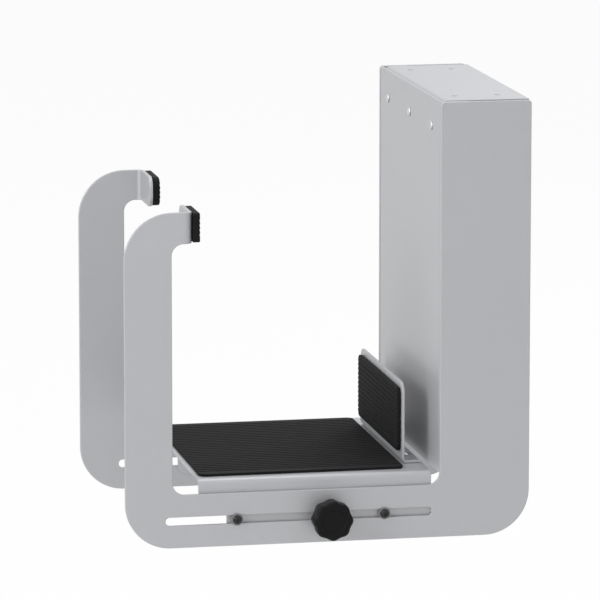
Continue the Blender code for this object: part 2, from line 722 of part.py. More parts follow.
def make_holder():
    clear_scene()
    steel = make_material("silver_coated_steel", (0.46, 0.47, 0.49), 0.45, 0.25)
    rubber = make_material("black_rubber", (0.02, 0.02, 0.02), 0.8, 0.0)
    plastic = make_material("black_plastic", (0.015, 0.015, 0.016), 0.5, 0.0)
    materials = {
        "nylon": make_material("grey_nylon", (0.2, 0.2, 0.2), 0.6, 0.0),
        "black_steel": make_material("blackened_steel", (0.03, 0.03, 0.033), 0.4, 0.9),
        "zinc": make_material("zinc_plated_steel", (0.62, 0.63, 0.65), 0.3, 1.0),
    }
    brass = make_material("brass", (0.65, 0.48, 0.2), 0.3, 1.0)

    frame = make_empty("holder_frame", (0, 0, 0))
    slide = make_empty("tray_slide", (CLAMP_X, 0, SLOT_Z))

    for name, side in SIDES.items():
        make_end_plate(f"{name}_plate", side, steel, frame)
        make_hook_pad(f"hook_pad_{name}", side, rubber, frame)
    make_side_panel(steel, frame)
    make_mount_bracket(steel, frame)
    for index, y in enumerate(bracket_rivet_places(), start=1):
        grip = PANEL_THICK + CLEAR + BRACKET_THICK
        rivet = make_rivet(f"bracket_rivet_{index}", grip, materials["zinc"], frame)
        put(rivet, (PANEL_FACE, y, -BRACKET_RIVET_DROP), (0, -math.pi / 2, 0))

    for piece in (make_tray(steel, slide), make_tray_mat(rubber, slide),
                  make_side_stop(steel, slide), make_stop_pad(rubber, slide)):
        put(piece, (0, 0, 0))
    for index, (x, y) in enumerate(stop_rivet_places(), start=1):
        grip = STOP_THICK + CLEAR + TRAY_THICK
        rivet = make_rivet(f"stop_rivet_{index}", grip, materials["zinc"], slide)
        put(rivet, (x, y, STOP_BOTTOM + STOP_THICK))
    for side_name, side in SIDES.items():
        for end_name, x in GUIDE_X.items():
            make_guide(f"{side_name}_{end_name}", side, x, materials, slide)
    make_clamp_bolt(materials["zinc"], slide)
    make_clamp_washer(materials["zinc"], slide)
    make_knob(plastic, brass, slide)


make_holder()
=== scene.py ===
import math

import bmesh
import bpy
import numpy as np
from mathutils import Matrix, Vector
from mathutils.geometry import tessellate_polygon


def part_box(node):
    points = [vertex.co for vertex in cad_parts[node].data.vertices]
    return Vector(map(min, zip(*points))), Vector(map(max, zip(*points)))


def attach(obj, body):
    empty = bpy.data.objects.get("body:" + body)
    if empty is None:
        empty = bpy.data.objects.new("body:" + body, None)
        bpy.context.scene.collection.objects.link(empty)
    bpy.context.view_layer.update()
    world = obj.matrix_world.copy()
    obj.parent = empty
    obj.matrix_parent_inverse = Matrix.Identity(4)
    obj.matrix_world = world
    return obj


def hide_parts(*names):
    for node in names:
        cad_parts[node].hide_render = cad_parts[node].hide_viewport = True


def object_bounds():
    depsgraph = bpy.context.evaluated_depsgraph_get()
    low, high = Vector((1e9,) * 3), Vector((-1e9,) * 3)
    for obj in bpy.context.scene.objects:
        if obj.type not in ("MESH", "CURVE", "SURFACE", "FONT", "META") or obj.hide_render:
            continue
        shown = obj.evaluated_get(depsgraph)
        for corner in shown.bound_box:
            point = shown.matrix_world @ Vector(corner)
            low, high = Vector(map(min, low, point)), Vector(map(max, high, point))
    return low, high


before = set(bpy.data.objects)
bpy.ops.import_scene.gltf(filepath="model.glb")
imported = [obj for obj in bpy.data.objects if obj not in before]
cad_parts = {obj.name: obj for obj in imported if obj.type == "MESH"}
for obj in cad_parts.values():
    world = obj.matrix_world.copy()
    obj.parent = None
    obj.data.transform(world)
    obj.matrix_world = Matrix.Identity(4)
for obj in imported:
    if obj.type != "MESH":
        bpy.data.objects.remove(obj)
cadBox = [list(corner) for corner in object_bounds()]
scene = bpy.context.scene
mm = 0.001
ends = {"front": -1, "rear": 1}  # the way each plate's outer face looks along Y


class Wire:
    # wraps a socket, so that sums, differences and products of wires add Math nodes
    def __init__(self, tree, socket):
        self.tree = tree
        self.socket = socket

    def maths(self, operation, first, second):
        node = self.tree.nodes.new("ShaderNodeMath")
        node.operation = operation
        for slot, value in zip(node.inputs, (first, second)):
            if isinstance(value, Wire):
                self.tree.links.new(value.socket, slot)
            else:
                slot.default_value = value
        return Wire(self.tree, node.outputs[0])

    def __add__(self, other):
        return self.maths('ADD', self, other)

    def __radd__(self, other):
        return self.maths('ADD', other, self)

    def __sub__(self, other):
        return self.maths('SUBTRACT', self, other)

    def __rsub__(self, other):
        return self.maths('SUBTRACT', other, self)

    def __mul__(self, other):
        return self.maths('MULTIPLY', self, other)

    def __rmul__(self, other):
        return self.maths('MULTIPLY', other, self)

    def clipped(self):
        return self.maths('MINIMUM', self.maths('MAXIMUM', self, 0.0), 1.0)


class Nodes:
    # a node tree, and the method that adds any node but a Math node
    def __init__(self, tree):
        self.tree = tree

    def plug(self, socket, value):
        if isinstance(value, Wire):
            self.tree.links.new(value.socket, socket)
        else:
            socket.default_value = value

    def node(self, kind, settings=None, values=None, out=0):
        made = self.tree.nodes.new("ShaderNode" + kind)
        for key, value in (settings or {}).items():
            setattr(made, key, value)
        for key, value in (values or {}).items():
            self.plug(made.inputs[key], value)
        return Wire(self.tree, made.outputs[out])

    def seenRays(self):
        # 1 for camera, glossy and transmission rays, and 0 for all others
        kinds = ("Is Camera Ray", "Is Glossy Ray", "Is Transmission Ray")
        camera, glossy, through = (self.node("LightPath", out=kind) for kind in kinds)
        return (camera + glossy + through).clipped()


class Finish(Nodes):
    # one material and its Principled shader
    def __init__(self, name):
        self.material = bpy.data.materials.new(name)
        self.material.use_nodes = True
        super().__init__(self.material.node_tree)
        self.shader = self.tree.nodes["Principled BSDF"]

    def noise(self, size, detail):
        # size is the grain in metres
        place = self.node("TexCoord", out="Object")
        values = {"Vector": place, "Scale": 1.0 / size, "Detail": detail}
        return self.node("TexNoise", values=values, out="Fac")

    def mix(self, factor, first, second):
        # a colour mix has its factor at socket 0, its colours at 6 and 7 and its result at 2
        return self.node("Mix", {"data_type": 'RGBA'}, {0: factor, 6: first, 7: second}, out=2)

    def bump(self, height, strength, depth):
        return self.node("Bump", values={"Height": height, "Strength": strength, "Distance": depth})

    def set(self, **inputs):
        for key, value in inputs.items():
            self.plug(self.shader.inputs[key.replace("_", " ")], value)
        return self.material


def shade(color, amount):
    return (*(min(1.0, channel * amount) for channel in color), 1.0)


def silverCoat():
    # satin powder coat: a slight cloudiness, metallic flakes and a fine orange peel
    look = dict(color=(0.465, 0.467, 0.48), dark=0.93, light=1.07, cloud=0.08, flake=0.0007,
                rough=0.38, roughCloud=0.10, roughFlake=0.06, metal=0.28, metalFlake=0.2,
                peel=0.0011, strength=0.35, depth=0.00006)
    finish = Finish("silverCoat")
    cloud = finish.noise(look["cloud"], detail=3.0)
    flakes = finish.noise(look["flake"], detail=1.0)
    tone = (cloud * 0.5 + flakes * 0.5).clipped()
    color = finish.mix(tone, shade(look["color"], look["dark"]), shade(look["color"], look["light"]))
    roughness = look["rough"] + look["roughCloud"] * cloud + look["roughFlake"] * flakes
    metallic = look["metal"] + look["metalFlake"] * flakes
    normal = finish.bump(finish.noise(look["peel"], detail=2.0), look["strength"], look["depth"])
    return finish.set(Base_Color=color, Roughness=roughness, Metallic=metallic, Normal=normal)


def blackRubber():
    # matt rubber with a little bloom and a fine stipple
    look = dict(color=(0.007, 0.007, 0.0074), dark=0.75, light=1.6, bloom=0.02, gloss=0.15,
                rough=0.66, roughStipple=0.18, stipple=0.0006, strength=0.5, depth=0.00008)
    finish = Finish("blackRubber")
    bloom = finish.noise(look["bloom"], detail=4.0)
    stipple = finish.noise(look["stipple"], detail=2.0)
    color = finish.mix(bloom, shade(look["color"], look["dark"]), shade(look["color"], look["light"]))
    roughness = look["rough"] + look["roughStipple"] * stipple
    normal = finish.bump(stipple, look["strength"], look["depth"])
    return finish.set(Base_Color=color, Roughness=roughness, Normal=normal, Specular_IOR_Level=look["gloss"])


def blackPlastic():
    # moulded plastic with a spark-eroded texture
    look = dict(color=(0.0035, 0.0035, 0.0038), dark=0.85, light=1.25, cloud=0.03, gloss=0.14,
                rough=0.36, roughGrain=0.18, grain=0.00045, strength=0.45, depth=0.00007)
    finish = Finish("blackPlastic")
    grain = finish.noise(look["grain"], detail=3.0)
    cloud = finish.noise(look["cloud"], detail=2.0)
    color = finish.mix(cloud, shade(look["color"], look["dark"]), shade(look["color"], look["light"]))
    roughness = look["rough"] + look["roughGrain"] * grain
    normal = finish.bump(grain, look["strength"], look["depth"])
    return finish.set(Base_Color=color, Roughness=roughness, Normal=normal, Specular_IOR_Level=look["gloss"])


def cloudedFinish(name, look):
    # color from dark to light by the cloud, roughness = rough + spread * cloud, and a grain as bump
    finish = Finish(name)
    cloud = finish.noise(look["cloud"], look["detail"])
    color = finish.mix(cloud, (*look["dark"], 1), (*look["light"], 1))
    finish.set(Base_Color=color, Roughness=look["rough"] + look["spread"] * cloud, Metallic=look["metal"])
    if "grain" in look:
        grain = finish.noise(look["grain"], detail=2.0)
        finish.set(Normal=finish.bump(grain, look["strength"], look["depth"]))
    return finish.material


def greyNylon():
    # smooth moulded nylon, slightly waxy
    return cloudedFinish("greyNylon", dict(
        dark=(0.16, 0.16, 0.165), light=(0.24, 0.24, 0.24), cloud=0.004, detail=3.0,
        rough=0.5, spread=0.15, metal=0.0, grain=0.0005, strength=0.3, depth=0.00004))


def blackSteel():
    # oxide-blackened steel, browner where it has been handled
    return cloudedFinish("blackSteel", dict(
        dark=(0.026, 0.026, 0.03), light=(0.055, 0.05, 0.047), cloud=0.003, detail=4.0,
        rough=0.3, spread=0.2, metal=0.85, grain=0.0004, strength=0.3, depth=0.00003))


def zincSteel():
    # bright zinc plate: bluish grey with a soft spangle
    return cloudedFinish("zincSteel", dict(
        dark=(0.52, 0.54, 0.58), light=(0.72, 0.72, 0.71), cloud=0.0025, detail=3.0,
        rough=0.24, spread=0.18, metal=1.0, grain=0.0003, strength=0.25, depth=0.00003))


def turnedBrass():
    # smooth brass, slightly tarnished
    return cloudedFinish("turnedBrass", dict(
        dark=(0.6, 0.43, 0.17), light=(0.74, 0.56, 0.26), cloud=0.002, detail=3.0,
        rough=0.25, spread=0.15, metal=1.0))


finishes = {
    "silver_coat": silverCoat(),
    "black_rubber": blackRubber(),
    "black_plastic": blackPlastic(),
    "grey_nylon": greyNylon(),
    "black_steel": blackSteel(),
    "zinc_steel": zincSteel(),
    "brass": turnedBrass(),
}
print("finishes made:", ", ".join(finishes))


def arcCorners(corners, steps=14):
    # outline with each (x, y, radius) corner as an arc: centre + radius * (cos t, sin t)
    outline = []
    count = len(corners)
    for index, (x, y, radius) in enumerate(corners):
        corner = np.array((x, y), float)
        if radius == 0:
            outline.append(corner)
            continue
        before = np.array(corners[index - 1][:2], float) - corner
        after = np.array(corners[(index + 1) % count][:2], float) - corner
        before /= np.linalg.norm(before)
        after /= np.linalg.norm(after)
        half = math.acos(np.clip(before @ after, -1, 1)) / 2
        middle = (before + after) / np.linalg.norm(before + after)
        centre = corner + middle * radius / math.sin(half)
        first = corner + before * radius / math.tan(half) - centre
        turn = math.pi - 2 * half
        if before[0] * after[1] - before[1] * after[0] > 0:
            turn = -turn
        angles = turn * np.linspace(0, 1, steps + 1)
        cosine, sine = np.cos(angles), np.sin(angles)
        arc = np.stack((first[0] * cosine - first[1] * sine, first[0] * sine + first[1] * cosine), axis=1)
        outline.extend(centre + arc)
    return np.array(outline)


def boxOutline(low, high, radii):
    # rectangle from low to high, its corner radii taken anticlockwise from the low corner
    places = ((low[0], low[1]), (high[0], low[1]), (high[0], high[1]), (low[0], high[1]))
    return arcCorners([(*place, radius) for place, radius in zip(places, radii)])


def roundHole(x, y, radius, steps=32):
    # circle: (x + r cos t, y + r sin t)
    angles = np.linspace(0, 2 * math.pi, steps, endpoint=False)
    return np.stack((x + radius * np.cos(angles), y + radius * np.sin(angles)), axis=1)


def slotHole(left, right, y, radius, steps=20):
    # two half circles (end + r cos t, y + r sin t), joined by straight sides
    angles = np.linspace(-math.pi / 2, math.pi / 2, steps + 1)
    cosine, sine = radius * np.cos(angles), radius * np.sin(angles)
    rightEnd = np.stack((right - radius + cosine, y + sine), axis=1)
    leftEnd = np.stack((left + radius - cosine, y - sine), axis=1)
    return np.concatenate((rightEnd, leftEnd))


def turnedWay(loop, anticlockwise):
    # the loop runs anticlockwise where the sum of x * nextY - nextX * y is above 0
    x, y = loop.T
    area = np.sum(x * np.roll(y, -1) - np.roll(x, -1) * y)
    return loop if (area > 0) == anticlockwise else loop[::-1]


def edgeProfile(thick, edge, steps=4, band=0.3 * mm):
    # (inset, depth) round a sheet's edge: quarter circles edge * (1 - sin t, 1 - cos t) at both faces
    angles = np.linspace(0, math.pi / 2, steps + 1)
    inset, depth = edge * (1 - np.sin(angles)), edge * (1 - np.cos(angles))
    inset = np.concatenate(([edge + band], inset, inset[::-1], [edge + band]))
    depth = np.concatenate(([0.0], depth, thick - depth[::-1], [thick]))
    return inset, depth


def flatSheet(name, outer, holes, thick, edge):
    # the edge profile carried round every loop: loop - outwardNormal * inset, at the profile's depth
    inset, depth = edgeProfile(thick, edge)
    points, faces, caps = [], [], ([], [])
    start = 0
    for loop in [turnedWay(outer, True)] + [turnedWay(hole, False) for hole in holes]:
        ahead = np.roll(loop, -1, axis=0) - loop
        ahead /= np.linalg.norm(ahead, axis=1)[:, None]
        normal = np.stack((ahead[:, 1], -ahead[:, 0]), axis=1)
        previous = np.roll(normal, 1, axis=0)
        miter = (normal + previous) / (1 + np.sum(normal * previous, axis=1))[:, None]
        flat = loop[None] - miter[None] * inset[:, None, None]
        height = np.broadcast_to(depth[:, None, None], (*flat.shape[:2], 1))
        points.append(np.concatenate((flat, height), axis=2).reshape(-1, 3))
        rows, count = flat.shape[:2]
        index = start + np.arange(rows * count).reshape(rows, count)
        following = np.roll(index, -1, axis=1)
        quads = np.stack((index[:-1], following[:-1], following[1:], index[1:]), axis=-1)
        faces.extend(quads.reshape(-1, 4).tolist())
        caps[0].append(index[0])
        caps[1].append(index[-1])
        start += rows * count
    points = np.concatenate(points)
    for cap in caps:
        order = np.concatenate(cap)
        triangles = tessellate_polygon([[Vector(points[i]) for i in ring] for ring in cap])
        faces.extend(order[list(triangle)].tolist() for triangle in triangles)
    data = bpy.data.meshes.new(name)
    data.from_pydata(points.tolist(), [], faces)
    return data


def splitAcross(data, places, axis=0, inside=None):
    # cuts the faces along straight lines, where the sheet bends or its ribs begin
    mesh = bmesh.new()
    mesh.from_mesh(data)
    normal = Vector((0, 0, 0))
    normal[axis] = 1
    for place in places:
        faces = [face for face in mesh.faces
                 if inside is None or any(inside(vert.co) for vert in face.verts)]
        edges = dict.fromkeys(edge for face in faces for edge in face.edges)
        verts = dict.fromkeys(vert for face in faces for vert in face.verts)
        geometry = [*verts, *edges, *faces]
        bmesh.ops.bisect_plane(mesh, geom=geometry, dist=1e-7, plane_co=normal * place, plane_no=normal)
    mesh.to_mesh(data)
    mesh.free()


def foldLines(runs, thick, bend, steps=8, margin=0.4 * mm):
    # where the flat sheet is cut: across each bend, and just outside it
    lines, place = [], 0.0
    arc = (bend + thick) * math.pi / 2
    for run in runs[:-1]:
        place += run
        lines.append(place - margin)
        lines.extend(place + arc * np.linspace(0, 1, steps + 1))
        lines.append(place + arc + margin)
        place += arc
    return lines


def foldedPlace(along, depth, runs, thick, bend, begin, heading, side):
    # the sheet's outer face follows straight runs and quarter circles of radius bend + thick,
    # point = start + run * (cos h, sin h), or centre - side * radius * (-sin h, cos h) in a bend,
    # and the depth goes inwards along side * (-sin h, cos h)
    radius = bend + thick
    arc = radius * math.pi / 2
    position = np.array(begin, float)
    result = np.zeros((len(along), 2))
    place = 0.0
    for index, run in enumerate(runs):
        direction = np.array((math.cos(heading), math.sin(heading)))
        inward = side * np.array((-direction[1], direction[0]))
        here = (along >= place) if index else np.ones(len(along), bool)
        straight = position + (along - place)[:, None] * direction + depth[:, None] * inward
        result[here] = straight[here]
        place += run
        position = position + direction * run
        if index == len(runs) - 1:
            break
        centre = position + inward * radius
        turned = np.clip((along - place) / radius, 0, math.pi / 2)
        angle = heading + side * turned
        sunk = side * np.stack((-np.sin(angle), np.cos(angle)), axis=1)
        bent = centre - sunk * (radius - depth)[:, None]
        here = along > place
        result[here] = bent[here]
        place += arc
        heading += side * math.pi / 2
        position = centre - side * radius * np.array((-math.sin(heading), math.cos(heading)))
    return result


def coordinates(data):
    flat = np.empty(3 * len(data.vertices))
    data.vertices.foreach_get("co", flat)
    return flat.reshape(-1, 3)


def foldedSheet(name, outline, holes, sheet, runs, begin, heading, side=-1):
    # a flat sheet cut across its bends, and for each of its points the place along the bends
    # and the two places in the bent section
    data = flatSheet(name, outline, holes, sheet["thick"], sheet["edge"])
    splitAcross(data, foldLines(runs, sheet["thick"], sheet["bend"]))
    flat = coordinates(data)
    section = foldedPlace(flat[:, 0], flat[:, 2], runs, sheet["thick"], sheet["bend"], begin, heading, side)
    return data, flat[:, 1], section[:, 0], section[:, 1]


def finishPiece(data, slot, body, node, points=None, sharp=40):
    # the mesh, its points moved to their places, becomes a piece that rides on its body
    # and stands for its CAD node
    if points is not None:
        data.vertices.foreach_set("co", points.ravel())
    mesh = bmesh.new()
    mesh.from_mesh(data)
    bmesh.ops.remove_doubles(mesh, verts=mesh.verts, dist=1e-7)
    bmesh.ops.recalc_face_normals(mesh, faces=mesh.faces)
    mesh.to_mesh(data)
    mesh.free()
    data.shade_smooth()
    data.set_sharp_from_angle(angle=math.radians(sharp))
    data.materials.append(finishes[slot])
    piece = bpy.data.objects.new(data.name, data)
    scene.collection.objects.link(piece)
    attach(piece, body)
    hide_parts(node)


# the three margins say which part of the flat plate is the hook, and is cut and bent
plate = dict(thick=3 * mm, edge=0.55 * mm, legWidth=76 * mm, armWidth=39.5 * mm, barHeight=44.5 * mm,
             openingCorner=10 * mm, hookInner=10 * mm, outerCorner=38 * mm, hookCorner=40 * mm,
             crown=3 * mm, hookTop=-85 * mm, hookHeight=26 * mm, hookReach=57 * mm, tabLength=50 * mm,
             tabBend=3.5 * mm, tabCorner=10 * mm, slotHeight=7 * mm, slotInset=6.5 * mm,
             slotPast=6 * mm, bendMargin=4 * mm, legMargin=10 * mm, underMargin=1 * mm)


def endPlate(end, side):
    # the outline in (x, z) with the hook unrolled, then the tab bent inwards through a quarter circle
    low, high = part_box(f"{end}_plate")
    legLeft = high[0] - plate["legWidth"]
    armRight = low[0] + plate["armWidth"]
    barTop = low[2] + plate["barHeight"]
    top, under = plate["hookTop"], plate["hookTop"] - plate["hookHeight"]
    radius = plate["tabBend"] + plate["thick"]
    bendStart = low[0] + plate["hookReach"] - radius
    run = plate["tabLength"] - radius
    flatEnd = bendStart + radius * math.pi / 2 + run
    outline = arcCorners([
        (flatEnd, under, plate["tabCorner"]),
        (armRight, under, plate["hookInner"]),
        (armRight, barTop, plate["openingCorner"]),
        (legLeft, barTop, plate["openingCorner"]),
        (legLeft, high[2], plate["crown"]),
        (high[0], high[2], plate["crown"]),
        (high[0], low[2], plate["outerCorner"]),
        (low[0], low[2], plate["outerCorner"]),
        (low[0], top, plate["hookCorner"]),
        (flatEnd, top, plate["tabCorner"]),
    ], steps=24)
    slotZ = low[2] + plate["barHeight"] / 2
    slotLeft, slotRight = armRight - plate["slotPast"], legLeft - plate["slotInset"]
    slot = slotHole(slotLeft, slotRight, slotZ, plate["slotHeight"] / 2)
    data = flatSheet(f"{end}PlateCoated", outline, [slot], plate["thick"], plate["edge"])

    def inHook(x, y, before=0.0):
        between = (x > bendStart - before) & (x < legLeft - plate["legMargin"])
        return between & (y > under - plate["underMargin"])

    lines = foldLines([0.0, run], plate["thick"], plate["tabBend"])
    splitAcross(data, [bendStart + line for line in lines],
                inside=lambda point: inHook(point.x, point.y, plate["bendMargin"]))
    flat = coordinates(data)
    hook = inHook(flat[:, 0], flat[:, 1])
    face = side * max(abs(low[1]), abs(high[1]))
    points = np.stack((flat[:, 0], face - side * flat[:, 2], flat[:, 1]), axis=1)
    bent = foldedPlace(flat[hook, 0] - bendStart, flat[hook, 2], [0.0, run], plate["thick"],
                       plate["tabBend"], (bendStart, -abs(face)), 0.0, 1)
    points[hook, 0] = bent[:, 0]
    points[hook, 1] = -side * bent[:, 1]
    finishPiece(data, "silver_coat", "frame", f"{end}_plate", points)


panel = dict(thick=2 * mm, bend=2 * mm, edge=0.4 * mm, corner=6 * mm)


def sidePanel():
    # C section in (x, y): front lip, web and rear lip, with Z along the bends
    low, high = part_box("side_panel")
    radius = panel["thick"] + panel["bend"]
    lip = high[0] - low[0] - radius
    web = high[1] - low[1] - 2 * radius
    total = 2 * lip + web + radius * math.pi
    outline = boxOutline((0, low[2]), (total, high[2]), [panel["corner"]] * 4)
    data, z, x, y = foldedSheet("sidePanelCoated", outline, [], panel, [lip, web, lip],
                                (high[0], low[1]), math.pi)
    finishPiece(data, "silver_coat", "frame", "side_panel", np.stack((x, y, z), axis=1))


bracket = dict(thick=3 * mm, bend=2 * mm, edge=0.5 * mm, holeRadius=2.75 * mm, holesX=18 * mm,
               holesY=85 * mm)


def mountBracket():
    # L section in (x, z): a leg down the panel and a top with four screw holes, with Y along the bend
    low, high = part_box("mount_bracket")
    radius = bracket["thick"] + bracket["bend"]
    leg = high[2] - low[2] - radius
    top = high[0] - low[0] - radius
    total = leg + top + radius * math.pi / 2
    outline = boxOutline((0, low[1]), (total, high[1]), [0] * 4)
    flatStart = leg + radius * math.pi / 2 - (low[0] + radius)
    holes = [roundHole(flatStart + x * bracket["holesX"], y * bracket["holesY"], bracket["holeRadius"])
             for x in (-1, 1) for y in (-1, 1)]
    data, y, x, z = foldedSheet("mountBracketCoated", outline, holes, bracket, [leg, top],
                                (low[0], low[2]), math.pi / 2)
    finishPiece(data, "silver_coat", "frame", "mount_bracket", np.stack((x, y, z), axis=1))


tray = dict(thick=2 * mm, bend=2 * mm, edge=0.4 * mm, corner=6 * mm, step=23.5 * mm, shallow=14 * mm,
            stepCorner=4 * mm)


def slidingTray():
    # U section in (y, z): front skirt, top and rear skirt, with X along the bends
    # and both skirts shallow at the left end
    low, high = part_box("tray")
    radius = tray["thick"] + tray["bend"]
    skirt = high[2] - low[2] - radius
    top = high[1] - low[1] - 2 * radius
    total = 2 * skirt + top + radius * math.pi
    corner, stepCorner = tray["corner"], tray["stepCorner"]
    stepX = low[0] + tray["step"]
    deep = high[2] - low[2] - tray["shallow"]
    outline = arcCorners([
        (0, stepX, corner),
        (deep, stepX, stepCorner),
        (deep, low[0], stepCorner),
        (total - deep, low[0], stepCorner),
        (total - deep, stepX, stepCorner),
        (total, stepX, corner),
        (total, high[0], corner),
        (0, high[0], corner),
    ])
    data, x, y, z = foldedSheet("trayCoated", outline, [], tray, [skirt, top, skirt],
                                (low[1], low[2]), math.pi / 2)
    finishPiece(data, "silver_coat", "carriage", "tray", np.stack((x, y, z), axis=1))


stop = dict(thick=2 * mm, bend=2 * mm, edge=0.4 * mm, corner=10 * mm)


def sideStop():
    # L section in (x, z): an upright with round upper corners and a foot, with Y along the bend
    low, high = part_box("side_stop")
    radius = stop["thick"] + stop["bend"]
    upright = high[2] - low[2] - radius
    foot = high[0] - low[0] - radius
    total = upright + foot + radius * math.pi / 2
    outline = boxOutline((0, low[1]), (total, high[1]), (stop["corner"], 0, 0, stop["corner"]))
    data, y, x, z = foldedSheet("sideStopCoated", outline, [], stop, [upright, foot],
                                (low[0], high[2]), -math.pi / 2, side=1)
    finishPiece(data, "silver_coat", "carriage", "side_stop", np.stack((x, y, z), axis=1))


for end, side in ends.items():
    endPlate(end, side)
sidePanel()
mountBracket()
slidingTray()
sideStop()
print("sheet metal made")


def ribLines(low, high, pitch, ramp, width):
    # four lines for each rib: its middle -/+ half its width, and a ramp further out on both sides
    count = int((high - low) / pitch)
    first = (low + high) / 2 - (count - 1) * pitch / 2
    middles = first + pitch * np.arange(count)
    half = width / 2
    foot = half + ramp
    return np.sort(np.concatenate((middles - foot, middles - half, middles + half, middles + foot)))


def ribbedSlab(name, outer, thick, ribs):
    # depth = thick - groove * share, where share runs from 0 on a rib to 1 in the valley beside it
    edge = ribs["edge"]
    data = flatSheet(name, outer, [], thick, edge)
    low, high = outer[:, 1].min() + 2 * edge, outer[:, 1].max() - 2 * edge
    lines = ribLines(low, high, ribs["pitch"], ribs["ramp"], ribs["width"])
    splitAcross(data, lines, axis=1)
    points = coordinates(data)
    share = np.interp(points[:, 1], lines, np.tile((1.0, 0.0, 0.0, 1.0), len(lines) // 4))
    share[(points[:, 1] < lines[0]) | (points[:, 1] > lines[-1])] = 0.0
    top = points[:, 2] > thick - ribs["rim"] * edge
    points[top, 2] -= ribs["groove"] * share[top]
    return data, points


# rim is the share of the rounded edge that sinks with the grooves
mat = dict(edge=0.5 * mm, rim=0.3, corner=6 * mm, pitch=7 * mm, width=4 * mm, ramp=0.5 * mm,
           groove=0.7 * mm)
pad = dict(edge=0.8 * mm, rim=0.3, tip=9 * mm, corner=2 * mm, pitch=4 * mm, width=2.4 * mm,
           ramp=0.4 * mm, groove=0.7 * mm)


def trayMat():
    # a ribbed slab in (x, y), its thickness upwards
    low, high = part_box("tray_mat")
    outline = boxOutline(low[:2], high[:2], [mat["corner"]] * 4)
    data, points = ribbedSlab("trayMatRibbed", outline, high[2] - low[2], mat)
    points[:, 2] += low[2]
    finishPiece(data, "black_rubber", "carriage", "tray_mat", points, sharp=30)


def stopPad():
    # a ribbed slab in (y, z), its thickness to the left
    low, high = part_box("stop_pad")
    outline = boxOutline(low[1:], high[1:], [mat["corner"]] * 4)
    data, points = ribbedSlab("stopPadRibbed", outline, high[0] - low[0], pad)
    points = np.stack((high[0] - points[:, 2], points[:, 0], points[:, 1]), axis=1)
    finishPiece(data, "black_rubber", "carriage", "stop_pad", points, sharp=30)


def hookPad(end, side):
    # a ribbed slab in (y, z), its thickness to the right and its rounder corners at the tab's tip
    low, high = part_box(f"hook_pad_{end}")
    near, far = (pad["corner"], pad["tip"]) if side < 0 else (pad["tip"], pad["corner"])
    outline = boxOutline(low[1:], high[1:], (near, far, far, near))
    data, points = ribbedSlab(f"hookPad_{end}", outline, high[0] - low[0], pad)
    points = np.stack((low[0] + points[:, 2], points[:, 0], points[:, 1]), axis=1)
    finishPiece(data, "black_rubber", "frame", f"hook_pad_{end}", points, sharp=30)


trayMat()
stopPad()
for end, side in ends.items():
    hookPad(end, side)
print("rubber made")


def roundForm(angle):
    # r = 1
    return np.ones_like(angle)


def squareForm(angle):
    # r = 1 / max(|cos t|, |sin t|)
    return 1 / np.maximum(np.abs(np.cos(angle)), np.abs(np.sin(angle)))


def hexForm(angle):
    # r = 1 / cos(t folded into one sixth of a turn)
    return 1 / np.cos((angle + math.pi / 6) % (math.pi / 3) - math.pi / 6)


def turnedPiece(name, profile, axis, origin, steps=48, forms=None):
    # (r form(t) cos t, r form(t) sin t, h) for each (r, h) of the profile, with h laid along the axis
    profile = np.array(profile, float)
    angles = np.linspace(0, 2 * math.pi, steps, endpoint=False)
    forms = forms or [roundForm] * len(profile)
    reach = profile[:, 0][:, None] * np.array([form(angles) for form in forms])
    local = np.stack((reach * np.cos(angles), reach * np.sin(angles),
                      np.repeat(profile[:, 1][:, None], steps, axis=1)), axis=2)
    outward = np.array(axis, float)
    across = np.array((1.0, 0, 0)) if abs(outward[0]) < 0.5 else np.array((0, 0, 1.0))
    upward = np.cross(outward, across)
    points = np.array(origin) + local[..., :1] * across + local[..., 1:2] * upward + local[..., 2:] * outward
    index = np.arange(len(profile) * steps).reshape(-1, steps)
    lower, upper = index[:-1], index[1:]
    if profile[0, 0] > 0:
        lower, upper = index, np.roll(index, -1, axis=0)
    quads = np.stack((lower, np.roll(lower, -1, axis=1), np.roll(upper, -1, axis=1), upper), axis=-1)
    data = bpy.data.meshes.new(name)
    data.from_pydata(points.reshape(-1, 3).tolist(), [], quads.reshape(-1, 4).tolist())
    return data


def domeArc(radius, base, crown, steps=8):
    # quarter ellipse: (radius sin t, base + (crown - base) cos t)
    angles = np.linspace(0, math.pi / 2, steps + 1)
    return [(0.0 if t == 0 else radius * math.sin(t), base + (crown - base) * math.cos(t)) for t in angles]


def turnedSeat(node, side=-1):
    # a piece turned about Y: the middle of its inner end, its length and its radius
    low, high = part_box(node)
    inner = high[1] if side < 0 else low[1]
    middle = ((low[0] + high[0]) / 2, inner, (low[2] + high[2]) / 2)
    return middle, high[1] - low[1], (high[0] - low[0]) / 2


knob = dict(lobes=8, lobeDepth=0.6 * mm, lobesFrom=0.8, hub=8.5 * mm, hubLength=8 * mm, hubRound=0.8 * mm,
            hubFoot=1.0 * mm, round=2.2 * mm, faceRound=2.86 * mm, wall=4 * mm, bore=5.3 * mm,
            dish=9.5 * mm, dishDepth=0.6 * mm, dishSlope=0.6 * mm, lip=0.3 * mm)


